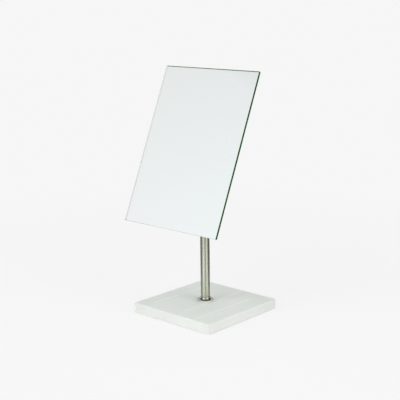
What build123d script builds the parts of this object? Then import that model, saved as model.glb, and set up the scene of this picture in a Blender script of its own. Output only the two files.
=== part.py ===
"""Pedestal mirror: a frameless glass on a friction hinge, a steel post and a square wooden base.

The origin is the middle of the felt that the base stands on, +Z is up, +X runs along the
width of the glass, and the glass looks towards -Y and leans back.
All sizes are in millimetres.
"""

from build123d import *
import math
import os

os.makedirs("parts", exist_ok=True)

# Base board and the felt under it
board_side = 150.0
board_thickness = 15.0
board_edge_break = 0.6
felt_thickness = 1.0
felt_margin = 2.5
felt_corner_radius = 3.0

# Bolt that draws the post down onto the board, with its washers in a recess
base_bolt_diameter = 6.0
base_bolt_head_diameter = 10.0
base_bolt_head_height = 4.0
base_bolt_head_break = 0.4
base_bolt_socket = 4.0
base_bolt_socket_depth = 2.4
base_bolt_end_break = 0.6
base_bolt_engagement = 16.0
base_bolt_hole_clearance = 0.3
base_washer_diameter = 18.0
base_washer_thickness = 1.6
lock_washer_diameter = 11.8
lock_washer_thickness = 1.6
lock_washer_gap = 1.2
washer_bore_clearance = 0.2
recess_side_clearance = 2.0
recess_head_clearance = 0.8

# Post: a straight tube with a turned plug in each end
tube_diameter = 14.0
tube_wall = 1.0
tube_length = 203.0
plug_edge_break = 0.4
lower_plug_length = 24.0
lower_plug_tap_depth = 20.0
upper_plug_length = 18.0
upper_plug_tap_depth = 15.0
upper_plug_flange = 2.0

# Flared collar that the foot of the tube stands in
collar_floor = 1.0
collar_brim_land = 3.6
collar_brim_thickness = 3.5
collar_brim_round = 0.35
collar_height = 7.0
collar_rim_width = 0.35
collar_flare_width = 1.35
collar_bore_clearance = 0.1

# Swivel at the top of the post
swivel_screw_diameter = 5.0
swivel_screw_head_diameter = 8.5
swivel_screw_head_height = 3.5
swivel_screw_head_break = 0.35
swivel_screw_socket = 3.0
swivel_screw_socket_depth = 2.0
swivel_screw_engagement = 12.0
swivel_glide_thickness = 0.8
swivel_washer_diameter = 9.0
swivel_washer_thickness = 1.0
disc_spring_thickness = 0.5
disc_spring_rise = 0.25
swivel_head_clearance = 1.75
running_clearance = 0.05

# Fork: a bent strap whose two ears hold the hinge pin
fork_strap = 3.0
fork_inner_bend = 1.0

# Hinge pin and what clamps it
pin_diameter = 5.0
pin_head_diameter = 9.5
pin_head_height = 2.75
pin_head_round = 2.2
pin_socket = 3.0
pin_socket_depth = 1.6
pin_washer_diameter = 10.0
pin_washer_thickness = 1.0
pin_nut_across_flats = 8.0
pin_nut_height = 5.0
pin_nut_collar_height = 1.6
pin_nut_edge_break = 0.4
pin_end_beyond_nut = 1.0
pin_end_break = 0.5
glide_diameter = 13.0
glide_thickness = 0.8

# Lug on the back of the mirror, whose eye turns on the pin
eye_radius = 7.0
eye_width = 10.0
neck_thickness = 9.0
neck_root_thickness = 13.0
neck_length = 23.0
neck_root_fillet = 2.5
flange_width = 28.0
flange_height = 48.0
flange_thickness = 2.5
flange_corner_radius = 5.0
flange_edge_break = 0.4

# Screws that hold the lug on the plate
lug_screw_diameter = 3.0
lug_screw_head_diameter = 5.6
lug_screw_head_height = 2.0
lug_screw_head_round = 1.0
lug_screw_slot_width = 0.8
lug_screw_slot_depth = 0.9
lug_screw_engagement = 2.0
lug_screw_spacing_x = 18.0
lug_screw_spacing_y = 38.0
lug_screw_hole_clearance = 0.1

# Plate, pad and the layers of the mirror
plate_width = 70.0
plate_height = 90.0
plate_thickness = 2.5
plate_corner_radius = 6.0
plate_edge_break = 0.4
pad_margin = 2.0
pad_thickness = 1.0
paint_thickness = 0.2
silver_thickness = 0.1
glass_width = 180.0
glass_height = 240.0
glass_thickness = 3.0
glass_arris = 0.4
lean_back_degrees = 23.0

# How near two places are when they count as the same
same_place = 1e-3

# Sides of the board's felt, and heights up the post, worked out from the stack
felt_side = board_side - 2 * felt_margin
board_bottom = felt_thickness
board_top = board_bottom + board_thickness
recess_depth = (
    base_washer_thickness + lock_washer_thickness + base_bolt_head_height + recess_head_clearance
)
recess_top = board_bottom + recess_depth
base_head_top = recess_top - base_washer_thickness - lock_washer_thickness
base_head_bottom = base_head_top - base_bolt_head_height
tube_bottom = board_top + collar_floor
tube_top = tube_bottom + tube_length
glide_bottom = tube_top + upper_plug_flange
fork_bottom = glide_bottom + swivel_glide_thickness
swivel_washer_bottom = fork_bottom + fork_strap
swivel_spring_bottom = swivel_washer_bottom + swivel_washer_thickness
disc_spring_height = disc_spring_thickness + disc_spring_rise
swivel_head_bottom = swivel_spring_bottom + disc_spring_height
swivel_head_top = swivel_head_bottom + swivel_screw_head_height
pin_height = swivel_head_top + swivel_head_clearance + eye_radius

# Places along the hinge pin, measured from the middle of the eye
fork_gap = eye_width + 2 * glide_thickness
fork_half_width = fork_gap / 2 + fork_strap
pin_washer_end = fork_half_width + pin_washer_thickness
pin_spring_end = pin_washer_end + disc_spring_height
pin_nut_end = pin_spring_end + pin_nut_height
pin_far_end = pin_nut_end + pin_end_beyond_nut

# Distances from the hinge pin along the mirror's own forward direction
plate_back = neck_length + flange_thickness
pad_back = plate_back + plate_thickness
paint_back = pad_back + pad_thickness
silver_back = paint_back + paint_thickness
glass_back = silver_back + silver_thickness

# The head plane stands on the hinge pin, with its x along the glass, its y up the glass
# and its z towards the person who looks in. The side plane cuts it from hinge to glass.
lean_back = math.radians(lean_back_degrees)
forward = Vector(0, -math.cos(lean_back), math.sin(lean_back))
pin_centre = Vector(0, 0, pin_height)
head_plane = Plane(origin=pin_centre, x_dir=(1, 0, 0), z_dir=forward)
side_plane = Plane(origin=pin_centre, x_dir=forward, z_dir=(-1, 0, 0))
pin_plane = Plane(origin=pin_centre, x_dir=(0, 1, 0), z_dir=(1, 0, 0))
forward_axis = Axis(origin=pin_centre, direction=forward)


def write(piece, name):
    """Label a finished piece and write it to a file of the same name."""
    piece.part.label = name
    export_step(piece.part, f"parts/{name}.step")


def ring_sketch(outer_diameter, bore_diameter):
    """A flat ring in the sketch that is being drawn."""
    Circle(outer_diameter / 2)
    Circle(bore_diameter / 2, mode=Mode.SUBTRACT)


def hex_socket_sketch(across_flats):
    """The outline of a hexagon, given across its flats, in the sketch that is being drawn."""
    RegularPolygon(radius=across_flats / 2, side_count=6, major_radius=False)


def disc_spring_profile(outer_diameter, bore_diameter, foot_height):
    """Half the section of a conical disc spring, whose outer edge stands at the foot height."""
    outer = outer_diameter / 2
    bore = bore_diameter / 2
    Polygon(
        (outer, foot_height),
        (outer, foot_height + disc_spring_thickness),
        (bore, foot_height + disc_spring_height),
        (bore, foot_height + disc_spring_rise),
        align=None,
    )


# Base board: a square of timber with a drilled and counterbored middle
with BuildPart() as base_board:
    with BuildSketch(Plane.XY.offset(board_bottom)):
        Rectangle(board_side, board_side)
    extrude(amount=board_thickness)
    chamfer(base_board.edges(), length=board_edge_break)
    with BuildSketch(Plane.XY.offset(board_bottom)):
        Circle(base_washer_diameter / 2 + recess_side_clearance)
    extrude(amount=recess_depth, mode=Mode.SUBTRACT)
    with BuildSketch(Plane.XY.offset(recess_top)):
        Circle(base_bolt_diameter / 2 + base_bolt_hole_clearance)
    extrude(amount=board_top - recess_top, mode=Mode.SUBTRACT)
write(base_board, "base_board")

# Felt: one sheet over the whole underside, which also covers the recess
with BuildPart() as base_felt:
    with BuildSketch(Plane.XY):
        RectangleRounded(felt_side, felt_side, felt_corner_radius)
    extrude(amount=felt_thickness)
write(base_felt, "base_felt")

# Base bolt: a low socket head below, and a shank up through board and collar into the plug
with BuildPart() as base_bolt:
    with BuildSketch(Plane.XY.offset(base_head_bottom)):
        Circle(base_bolt_head_diameter / 2)
    extrude(amount=base_bolt_head_height)
    chamfer(base_bolt.edges().group_by(Axis.Z)[0], length=base_bolt_head_break)
    with BuildSketch(Plane.XY.offset(base_head_top)):
        Circle(base_bolt_diameter / 2)
    extrude(amount=tube_bottom + base_bolt_engagement - base_head_top)
    chamfer(base_bolt.edges().group_by(Axis.Z)[-1], length=base_bolt_end_break)
    with BuildSketch(Plane.XY.offset(base_head_bottom)):
        hex_socket_sketch(base_bolt_socket)
    extrude(amount=base_bolt_socket_depth, mode=Mode.SUBTRACT)
write(base_bolt, "base_bolt")

# Wide flat washer against the wood
with BuildPart() as base_washer:
    with BuildSketch(Plane.XY.offset(recess_top - base_washer_thickness)):
        ring_sketch(base_washer_diameter, base_bolt_diameter + 2 * washer_bore_clearance)
    extrude(amount=base_washer_thickness)
write(base_washer, "base_washer")

# Split lock washer between the flat washer and the bolt's head
with BuildPart() as base_lock_washer:
    with BuildSketch(Plane.XY.offset(base_head_top)):
        ring_sketch(lock_washer_diameter, base_bolt_diameter + 2 * washer_bore_clearance)
        with Locations((lock_washer_diameter / 2, 0)):
            Rectangle(lock_washer_diameter, lock_washer_gap, mode=Mode.SUBTRACT)
    extrude(amount=lock_washer_thickness)
write(base_lock_washer, "base_lock_washer")

# Collar: a turned cup that flares down to a thick round brim, clamped under the tube
collar_bore = tube_diameter / 2 + collar_bore_clearance
rim_radius = collar_bore + collar_rim_width
flare_radius = rim_radius + collar_flare_width
brim_radius = flare_radius + collar_brim_land
brim_top = board_top + collar_brim_thickness
collar_top = board_top + collar_height
flare_foot = (flare_radius, brim_top)
flare_top = (rim_radius, collar_top)
with BuildPart() as post_collar:
    with BuildSketch(Plane.XZ):
        with BuildLine():
            Line((0, board_top), (brim_radius, board_top))
            Line((brim_radius, board_top), (brim_radius, brim_top))
            Line((brim_radius, brim_top), flare_foot)
            TangentArc(flare_top, flare_foot, tangent=(0, -1))
            Line(flare_top, (collar_bore, collar_top))
            Line((collar_bore, collar_top), (collar_bore, tube_bottom))
            Line((collar_bore, tube_bottom), (0, tube_bottom))
            Line((0, tube_bottom), (0, board_top))
        make_face()
    revolve(axis=Axis.Z)
    brim_edge = post_collar.edges().filter_by(GeomType.CIRCLE).filter_by(
        lambda edge: abs(edge.radius - brim_radius) < same_place
    ).sort_by(Axis.Z)[-1]
    fillet(brim_edge, radius=collar_brim_round)
    with BuildSketch(Plane.XY.offset(board_top)):
        Circle(base_bolt_diameter / 2 + base_bolt_hole_clearance)
    extrude(amount=collar_floor, mode=Mode.SUBTRACT)
write(post_collar, "post_collar")

# Post tube
with BuildPart() as post_tube:
    with BuildSketch(Plane.XY.offset(tube_bottom)):
        ring_sketch(tube_diameter, tube_diameter - 2 * tube_wall)
    extrude(amount=tube_length)
write(post_tube, "post_tube")

# Lower plug: pressed into the foot of the tube and tapped for the base bolt
plug_radius = tube_diameter / 2 - tube_wall
with BuildPart() as lower_plug:
    with BuildSketch(Plane.XY.offset(tube_bottom)):
        Circle(plug_radius)
    extrude(amount=lower_plug_length)
    chamfer(lower_plug.edges().group_by(Axis.Z)[-1], length=plug_edge_break)
    with BuildSketch(Plane.XY.offset(tube_bottom)):
        Circle(base_bolt_diameter / 2)
    extrude(amount=lower_plug_tap_depth, mode=Mode.SUBTRACT)
write(lower_plug, "lower_plug")

# Upper plug: its flange closes the tube, and its tapped hole takes the swivel screw
with BuildPart() as upper_plug:
    with BuildSketch(Plane.XY.offset(tube_top)):
        Circle(tube_diameter / 2)
    extrude(amount=upper_plug_flange)
    chamfer(upper_plug.edges().group_by(Axis.Z)[-1], length=plug_edge_break)
    with BuildSketch(Plane.XY.offset(tube_top)):
        Circle(plug_radius)
    extrude(amount=-upper_plug_length)
    chamfer(upper_plug.edges().group_by(Axis.Z)[0], length=plug_edge_break)
    with BuildSketch(Plane.XY.offset(glide_bottom)):
        Circle(swivel_screw_diameter / 2)
    extrude(amount=-upper_plug_tap_depth, mode=Mode.SUBTRACT)
write(upper_plug, "upper_plug")

# Swivel glide: a plastic washer that the fork turns on
with BuildPart() as swivel_glide:
    with BuildSketch(Plane.XY.offset(glide_bottom)):
        ring_sketch(tube_diameter, swivel_screw_diameter + 2 * washer_bore_clearance)
    extrude(amount=swivel_glide_thickness)
write(swivel_glide, "swivel_glide")

# Fork: a strap bent to a U, with round-ended ears, a hole in its floor and one in each ear
with BuildPart() as hinge_fork:
    with BuildSketch(pin_plane):
        Circle(eye_radius)
        with Locations((0, (fork_bottom - pin_height) / 2)):
            Rectangle(2 * eye_radius, pin_height - fork_bottom)
    extrude(amount=fork_half_width, both=True)
    outer_bends = hinge_fork.edges().filter_by(Axis.Y).group_by(Axis.Z)[0]
    fillet(outer_bends, radius=fork_strap + fork_inner_bend)
    with BuildSketch(Plane.XZ):
        with Locations((0, (swivel_washer_bottom + pin_height + eye_radius) / 2)):
            Rectangle(fork_gap, pin_height + eye_radius - swivel_washer_bottom)
    extrude(amount=eye_radius, both=True, mode=Mode.SUBTRACT)
    inner_bends = hinge_fork.edges().filter_by(Axis.Y).filter_by(
        lambda edge: abs(abs(edge.center().X) - fork_gap / 2) < same_place
        and abs(edge.center().Z - swivel_washer_bottom) < same_place
    )
    fillet(inner_bends, radius=fork_inner_bend)
    with BuildSketch(Plane.XY.offset(fork_bottom)):
        Circle(swivel_screw_diameter / 2 + running_clearance)
    extrude(amount=fork_strap, mode=Mode.SUBTRACT)
    with BuildSketch(pin_plane):
        Circle(pin_diameter / 2 + running_clearance)
    extrude(amount=fork_half_width, both=True, mode=Mode.SUBTRACT)
write(hinge_fork, "hinge_fork")

# Small steel washer on the fork's floor
with BuildPart() as swivel_washer:
    with BuildSketch(Plane.XY.offset(swivel_washer_bottom)):
        ring_sketch(swivel_washer_diameter, swivel_screw_diameter + 2 * washer_bore_clearance)
    extrude(amount=swivel_washer_thickness)
write(swivel_washer, "swivel_washer")

# Disc spring that keeps the swivel stiff
with BuildPart() as swivel_spring:
    with BuildSketch(Plane.XZ):
        disc_spring_profile(
            swivel_washer_diameter,
            swivel_screw_diameter + 2 * washer_bore_clearance,
            swivel_spring_bottom,
        )
    revolve(axis=Axis.Z)
write(swivel_spring, "swivel_spring")

# Swivel screw: a low socket head in the fork, and a shank down into the upper plug
with BuildPart() as swivel_screw:
    with BuildSketch(Plane.XY.offset(swivel_head_bottom)):
        Circle(swivel_screw_head_diameter / 2)
    extrude(amount=swivel_screw_head_height)
    chamfer(swivel_screw.edges().group_by(Axis.Z)[-1], length=swivel_screw_head_break)
    with BuildSketch(Plane.XY.offset(swivel_head_bottom)):
        Circle(swivel_screw_diameter / 2)
    extrude(amount=glide_bottom - swivel_screw_engagement - swivel_head_bottom)
    with BuildSketch(Plane.XY.offset(swivel_head_top)):
        hex_socket_sketch(swivel_screw_socket)
    extrude(amount=-swivel_screw_socket_depth, mode=Mode.SUBTRACT)
write(swivel_screw, "swivel_screw")

# Hinge pin: a domed head outside the right ear, and a shank through ears, glides and eye
with BuildPart() as hinge_pin:
    with BuildSketch(pin_plane.offset(fork_half_width)):
        Circle(pin_head_diameter / 2)
    extrude(amount=pin_head_height)
    fillet(hinge_pin.edges().group_by(Axis.X)[-1], radius=pin_head_round)
    with BuildSketch(pin_plane.offset(fork_half_width)):
        Circle(pin_diameter / 2)
    extrude(amount=-(fork_half_width + pin_far_end))
    chamfer(hinge_pin.edges().group_by(Axis.X)[0], length=pin_end_break)
    with BuildSketch(pin_plane.offset(fork_half_width + pin_head_height)):
        hex_socket_sketch(pin_socket)
    extrude(amount=-pin_socket_depth, mode=Mode.SUBTRACT)
write(hinge_pin, "hinge_pin")

# Glides: two plastic washers between the ears and the eye
with BuildPart() as hinge_glides:
    for glide_start in (eye_width / 2, -eye_width / 2 - glide_thickness):
        with BuildSketch(pin_plane.offset(glide_start)):
            ring_sketch(glide_diameter, pin_diameter + 2 * washer_bore_clearance)
        extrude(amount=glide_thickness)
write(hinge_glides, "hinge_glides")

# Flat washer against the left ear
with BuildPart() as pin_washer:
    with BuildSketch(pin_plane.offset(-pin_washer_end)):
        ring_sketch(pin_washer_diameter, pin_diameter + 2 * washer_bore_clearance)
    extrude(amount=pin_washer_thickness)
write(pin_washer, "pin_washer")

# Disc spring that sets how firmly the hinge holds
with BuildPart() as pin_spring:
    with BuildSketch(Plane.XZ):
        disc_spring_profile(
            pin_washer_diameter, pin_diameter + 2 * washer_bore_clearance, pin_washer_end
        )
    revolve(axis=Axis.Z)
pin_spring.part = pin_plane.location * Rot(180, 0, 0) * pin_spring.part
write(pin_spring, "pin_spring")

# Lock nut: a hexagon with a raised round collar
with BuildPart() as pin_nut:
    with BuildSketch(pin_plane.offset(-pin_spring_end)):
        hex_socket_sketch(pin_nut_across_flats)
    extrude(amount=-(pin_nut_height - pin_nut_collar_height))
    with BuildSketch(pin_plane.offset(-pin_spring_end)):
        Circle(pin_nut_across_flats / 2 - pin_nut_edge_break)
    extrude(amount=-pin_nut_height)
    chamfer(pin_nut.edges().group_by(Axis.X)[0], length=pin_nut_edge_break)
    with BuildSketch(pin_plane.offset(-pin_spring_end)):
        Circle(pin_diameter / 2)
    extrude(amount=-pin_nut_height, mode=Mode.SUBTRACT)
write(pin_nut, "pin_nut")

# Mirror lug: an eye, a neck that widens towards its root, and a flange with four holes
with BuildPart() as mirror_lug:
    with BuildSketch(side_plane):
        Circle(eye_radius)
        Polygon(
            (0, -neck_thickness / 2),
            (neck_length, -neck_root_thickness / 2),
            (neck_length, neck_root_thickness / 2),
            (0, neck_thickness / 2),
            align=None,
        )
    extrude(amount=eye_width / 2, both=True)
    with BuildSketch(head_plane.offset(neck_length)):
        RectangleRounded(flange_width, flange_height, flange_corner_radius)
    extrude(amount=flange_thickness)
    neck_root = mirror_lug.edges().filter_by(
        lambda edge: abs((edge.center() - pin_centre).dot(forward) - neck_length) < same_place
        and edge.length < 2 * eye_radius
        and (edge.center() - pin_centre).cross(forward).length < eye_radius
    )
    fillet(neck_root, radius=neck_root_fillet)
    with BuildSketch(pin_plane):
        Circle(pin_diameter / 2 + running_clearance)
    extrude(amount=eye_width / 2, both=True, mode=Mode.SUBTRACT)
    with BuildSketch(head_plane.offset(neck_length)):
        with GridLocations(lug_screw_spacing_x, lug_screw_spacing_y, 2, 2):
            Circle(lug_screw_diameter / 2 + lug_screw_hole_clearance)
    extrude(amount=flange_thickness, mode=Mode.SUBTRACT)
write(mirror_lug, "mirror_lug")

# Lug screws: four slotted pan heads on the back of the flange
with BuildPart() as lug_screws:
    with BuildSketch(head_plane.offset(neck_length)):
        with GridLocations(lug_screw_spacing_x, lug_screw_spacing_y, 2, 2):
            Circle(lug_screw_head_diameter / 2)
    extrude(amount=-lug_screw_head_height)
    fillet(lug_screws.edges().group_by(forward_axis)[0], radius=lug_screw_head_round)
    with BuildSketch(head_plane.offset(neck_length - lug_screw_head_height)):
        with GridLocations(lug_screw_spacing_x, lug_screw_spacing_y, 2, 2):
            Rectangle(lug_screw_head_diameter, lug_screw_slot_width)
    extrude(amount=lug_screw_slot_depth, mode=Mode.SUBTRACT)
    with BuildSketch(head_plane.offset(neck_length)):
        with GridLocations(lug_screw_spacing_x, lug_screw_spacing_y, 2, 2):
            Circle(lug_screw_diameter / 2)
    extrude(amount=flange_thickness + lug_screw_engagement)
write(lug_screws, "lug_screws")

# Mounting plate, drilled and tapped for the lug screws
with BuildPart() as mounting_plate:
    with BuildSketch(head_plane.offset(plate_back)):
        RectangleRounded(plate_width, plate_height, plate_corner_radius)
    extrude(amount=plate_thickness)
    chamfer(mounting_plate.edges().group_by(forward_axis)[0], length=plate_edge_break)
    with BuildSketch(head_plane.offset(plate_back)):
        with GridLocations(lug_screw_spacing_x, lug_screw_spacing_y, 2, 2):
            Circle(lug_screw_diameter / 2)
    extrude(amount=plate_thickness, mode=Mode.SUBTRACT)
write(mounting_plate, "mounting_plate")

# Foam pad that bonds the plate to the back of the mirror
with BuildPart() as bonding_pad:
    with BuildSketch(head_plane.offset(pad_back)):
        RectangleRounded(
            plate_width - 2 * pad_margin,
            plate_height - 2 * pad_margin,
            plate_corner_radius - pad_margin,
        )
    extrude(amount=pad_thickness)
write(bonding_pad, "bonding_pad")

# Back of the mirror: a coat of paint, then the silver, both as large as the glass's flat face
with BuildPart() as backing_paint:
    with BuildSketch(head_plane.offset(paint_back)):
        Rectangle(glass_width - 2 * glass_arris, glass_height - 2 * glass_arris)
    extrude(amount=paint_thickness)
write(backing_paint, "backing_paint")

with BuildPart() as silver_coat:
    with BuildSketch(head_plane.offset(silver_back)):
        Rectangle(glass_width - 2 * glass_arris, glass_height - 2 * glass_arris)
    extrude(amount=silver_thickness)
write(silver_coat, "silver_coat")

# Glass: a frameless sheet with every edge broken to a narrow arris
with BuildPart() as mirror_glass:
    with BuildSketch(head_plane.offset(glass_back)):
        Rectangle(glass_width, glass_height)
    extrude(amount=glass_thickness)
    chamfer(mirror_glass.edges(), length=glass_arris)
write(mirror_glass, "mirror_glass")
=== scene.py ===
"""Looks of a pedestal mirror: limed board, chrome collar, steel post, tilting float glass.

Every size is in metres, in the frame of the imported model: the origin is the middle of the
felt that the board stands on, +Z is up and the glass looks towards -Y.
"""

import logging
import math
from dataclasses import dataclass, field
from enum import Enum
from typing import Callable, Protocol, Sequence

import bmesh
import bpy
import numpy as np
from mathutils import Matrix


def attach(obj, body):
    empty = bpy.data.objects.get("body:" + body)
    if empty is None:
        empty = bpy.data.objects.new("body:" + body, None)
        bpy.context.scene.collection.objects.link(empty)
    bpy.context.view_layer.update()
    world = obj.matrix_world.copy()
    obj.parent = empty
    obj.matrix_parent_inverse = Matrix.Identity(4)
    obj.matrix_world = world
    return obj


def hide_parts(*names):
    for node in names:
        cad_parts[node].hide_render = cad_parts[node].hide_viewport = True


Array = np.ndarray
Colour = tuple[float, float, float]
Place = tuple[float, float, float]
Cells = tuple[float, float, float]
Socket = bpy.types.NodeSocket

MM = 1e-3
LOG = logging.getLogger("pedestal_mirror")

# Most of a cloudy noise lies between the first two values, and nearly all between the others
NOISE_MIDDLE = (0.35, 0.65)
NOISE_SPREAD = (0.3, 0.7)

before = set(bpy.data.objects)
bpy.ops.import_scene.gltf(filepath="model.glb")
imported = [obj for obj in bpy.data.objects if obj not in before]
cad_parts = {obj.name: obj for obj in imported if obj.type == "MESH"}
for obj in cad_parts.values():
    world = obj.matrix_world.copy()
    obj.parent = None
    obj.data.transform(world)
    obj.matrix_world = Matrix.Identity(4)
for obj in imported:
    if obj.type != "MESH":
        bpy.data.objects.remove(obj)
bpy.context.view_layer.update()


# Surfaces, which every new piece is before it becomes a mesh


@dataclass
class Surface:
    """Points, and the faces between them as rows of point numbers."""

    points: Array
    quads: Array = field(default_factory=lambda: np.zeros((0, 4), int))
    triangles: Array = field(default_factory=lambda: np.zeros((0, 3), int))

    def turned(self) -> "Surface":
        """The same surface with its faces looking the other way."""
        return Surface(self.points, self.quads[:, ::-1], self.triangles[:, ::-1])


def lattice(rows: int, columns: int, close_rows: bool = False, close_columns: bool = False) -> Array:
    """Quads of a grid whose point (i, j) is number i * columns + j.

    Args:
        rows: Points along the first parameter.
        columns: Points along the second parameter.
        close_rows: Whether the last row joins the first.
        close_columns: Whether the last column joins the first.

    Returns:
        The four point numbers of each quad, one quad in each row.
    """
    i = np.arange(rows if close_rows else rows - 1)
    j = np.arange(columns if close_columns else columns - 1)
    i, j = np.meshgrid(i, j, indexing="ij")
    i2, j2 = (i + 1) % rows, (j + 1) % columns
    corners = [i * columns + j, i2 * columns + j, i2 * columns + j2, i * columns + j2]
    return np.stack(corners, -1).reshape(-1, 4)


def sheet_of(points: Array) -> Surface:
    """An open grid surface through points of shape (rows, columns, 3)."""
    rows, columns = points.shape[:2]
    return Surface(points.reshape(-1, 3), lattice(rows, columns))


def joined(parts: Sequence[Surface]) -> Surface:
    """Several surfaces as one, with their borders left as they are.

    Args:
        parts: The surfaces.

    Returns:
        All their points and faces in one surface.
    """
    starts = np.cumsum([0] + [len(p.points) for p in parts[:-1]])
    return Surface(
        np.concatenate([p.points for p in parts]),
        np.concatenate([p.quads + s for p, s in zip(parts, starts)]),
        np.concatenate([p.triangles + s for p, s in zip(parts, starts)]),
    )


def revolved(profile: Array, around: int) -> Surface:
    """A profile turned about Z.

    A point (r, z) of the profile goes to (r cos a, r sin a, z) for each angle a. Where the
    profile's first and last points are the same the surface is a closed ring.

    Args:
        profile: Points (radius, height), from the inner or lower end, outside on the right.
        around: Number of angles in a full turn.

    Returns:
        The closed surface.
    """
    ring = bool(np.allclose(profile[0], profile[-1]))
    section = profile[:-1] if ring else profile
    angle = np.linspace(0, 2 * np.pi, around, endpoint=False)
    r, z = section[:, :1], section[:, 1:]
    points = np.stack([r * np.cos(angle), r * np.sin(angle), z + 0 * angle], -1)
    quads = lattice(len(section), around, close_rows=ring, close_columns=True)
    return Surface(points.reshape(-1, 3), quads[:, ::-1])


def rounded_rectangle(width: float, height: float, radius: float, steps: int) -> Array:
    """Points round a rectangle with round corners, against the clock.

    Each corner is a quarter circle about a centre that lies one radius inside both sides.

    Args:
        width: Size along the first axis.
        height: Size along the second axis.
        radius: Corner radius.
        steps: Pieces that each quarter circle is cut into.

    Returns:
        Points of shape (4 * (steps + 1), 2).
    """
    angle = np.linspace(0, np.pi / 2, steps + 1)
    corner = np.arange(4)[:, None]
    centre_x = np.array([1, -1, -1, 1])[:, None] * (width / 2 - radius)
    centre_y = np.array([1, 1, -1, -1])[:, None] * (height / 2 - radius)
    turn = angle + corner * np.pi / 2
    x = centre_x + radius * np.cos(turn)
    y = centre_y + radius * np.sin(turn)
    return np.stack([x.ravel(), y.ravel()], -1)


def evenly_spaced(outline: Array, step: float) -> Array:
    """A closed outline again, with points about step apart along its length.

    Args:
        outline: Its corners in order, of shape (n, 2).
        step: Distance between neighbouring points.

    Returns:
        The new points, of shape (m, 2).
    """
    loop = np.vstack([outline, outline[:1]])
    length = np.concatenate([[0], np.cumsum(np.linalg.norm(np.diff(loop, axis=0), axis=1))])
    place = np.linspace(0, length[-1], round(length[-1] / step), endpoint=False)
    return np.column_stack([np.interp(place, length, loop[:, k]) for k in (0, 1)])


def slab(outline: Array, insets: Array, heights: Array, rings: int = 6) -> Surface:
    """A flat closed slab whose side follows a profile.

    Row k of the side is the outline moved inwards along its normal by insets[k], at
    heights[k]. Top and bottom are rings that shrink towards the middle in equal steps.

    Args:
        outline: Points round the slab against the clock, of shape (n, 2).
        insets: Distances inwards, one for each row, or rows of one for each point.
        heights: Height of each row, lowest first.
        rings: Rings in each flat face.

    Returns:
        The slab, with its third axis as its thickness.
    """
    count = len(outline)
    along = np.roll(outline, -1, 0) - np.roll(outline, 1, 0)
    outward = np.column_stack([along[:, 1], -along[:, 0]]) / np.linalg.norm(along, axis=1)[:, None]
    insets = np.broadcast_to(np.reshape(insets, (len(heights), -1)), (len(heights), count))
    side = outline - insets[..., None] * outward
    inner = np.linspace(1, 0, rings, endpoint=False)[1:, None, None]
    flat = np.concatenate([side[:1] * inner[::-1], side, side[-1:] * inner])
    level = np.pad(heights, rings - 1, mode="edge")
    height = np.broadcast_to(level[:, None, None], (*flat.shape[:2], 1))
    points = np.concatenate([flat, height], -1).reshape(-1, 3)
    ends = np.array([[0, 0, heights[0]], [0, 0, heights[-1]]])
    first, last = np.arange(count), (len(flat) - 1) * count + np.arange(count)
    low = np.column_stack([np.roll(first, -1), first, np.full(count, len(points))])
    high = np.column_stack([last, np.roll(last, -1), np.full(count, len(points) + 1)])
    quads = lattice(len(flat), count, close_columns=True)
    return Surface(np.vstack([points, ends]), quads[:, ::-1], np.vstack([low, high]))


class SmoothNoise:
    """Seeded noise: random values at whole-number places, blended smoothly between them."""

    def __init__(self, seed: int, size: int = 64) -> None:
        """Draws the random values.

        Args:
            seed: Seed of the draw.
            size: Places along each axis before the values repeat.
        """
        self.size = size
        self.values = np.random.default_rng(seed).uniform(-1, 1, (size, size, size))

    def at(self, points: Array, scale: Sequence[float]) -> Array:
        """The noise at points.

        The value is a blend of the eight nearest random values, with the weight 3t^2 - 2t^3
        along each axis, t being the place between two whole numbers.

        Args:
            points: Places of shape (n, 3).
            scale: Cells for each metre along the three axes.

        Returns:
            One number from -1 to 1 for each point.
        """
        place = points * np.asarray(scale, float) + self.size * 8
        low = np.floor(place).astype(int)
        t = place - low
        weight = t * t * (3 - 2 * t)
        total = np.zeros(len(points))
        for dx, dy, dz in np.ndindex(2, 2, 2):
            share = np.prod(np.abs(np.array([1 - dx, 1 - dy, 1 - dz]) - weight), axis=1)
            i, j, k = ((low + [dx, dy, dz]) % self.size).T
            total += share * self.values[i, j, k]
        return total


def mesh_piece(
    name: str, surface: Surface, sharp_degrees: float = 35.0, weld: float = 0.0
) -> bpy.types.Object:
    """A named object with the surface as its mesh, at the origin.

    Args:
        name: Name of the piece.
        surface: Its points and faces.
        sharp_degrees: Edges that turn by more than this are shaded sharp.
        weld: Distance within which border points become one, or 0 for none.

    Returns:
        The object, linked to the scene.
    """
    mesh = bpy.data.meshes.new(name)
    corners = np.concatenate([surface.quads.ravel(), surface.triangles.ravel()])
    sizes = np.repeat([4, 3], [len(surface.quads), len(surface.triangles)])
    mesh.vertices.add(len(surface.points))
    mesh.vertices.foreach_set("co", surface.points.astype(np.float32).ravel())
    mesh.loops.add(len(corners))
    mesh.loops.foreach_set("vertex_index", corners.astype(np.int32))
    mesh.polygons.add(len(sizes))
    starts = np.concatenate([[0], np.cumsum(sizes)[:-1]])
    mesh.polygons.foreach_set("loop_start", starts.astype(np.int32))
    mesh.update(calc_edges=True)
    mesh.validate()
    if weld:
        shell = bmesh.new()
        shell.from_mesh(mesh)
        bmesh.ops.remove_doubles(shell, verts=shell.verts, dist=weld)
        shell.to_mesh(mesh)
        shell.free()
    mesh.shade_smooth()
    mesh.set_sharp_from_angle(angle=math.radians(sharp_degrees))
    piece = bpy.data.objects.new(name, mesh)
    bpy.context.scene.collection.objects.link(piece)
    return piece


def store_values(piece: bpy.types.Object, name: str, values: Array) -> None:
    """Stores one number at each point of a piece, for its material to read by that name."""
    attribute = piece.data.attributes.new(name, "FLOAT", "POINT")
    attribute.data.foreach_set("value", values.ravel().astype(np.float32))


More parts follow.
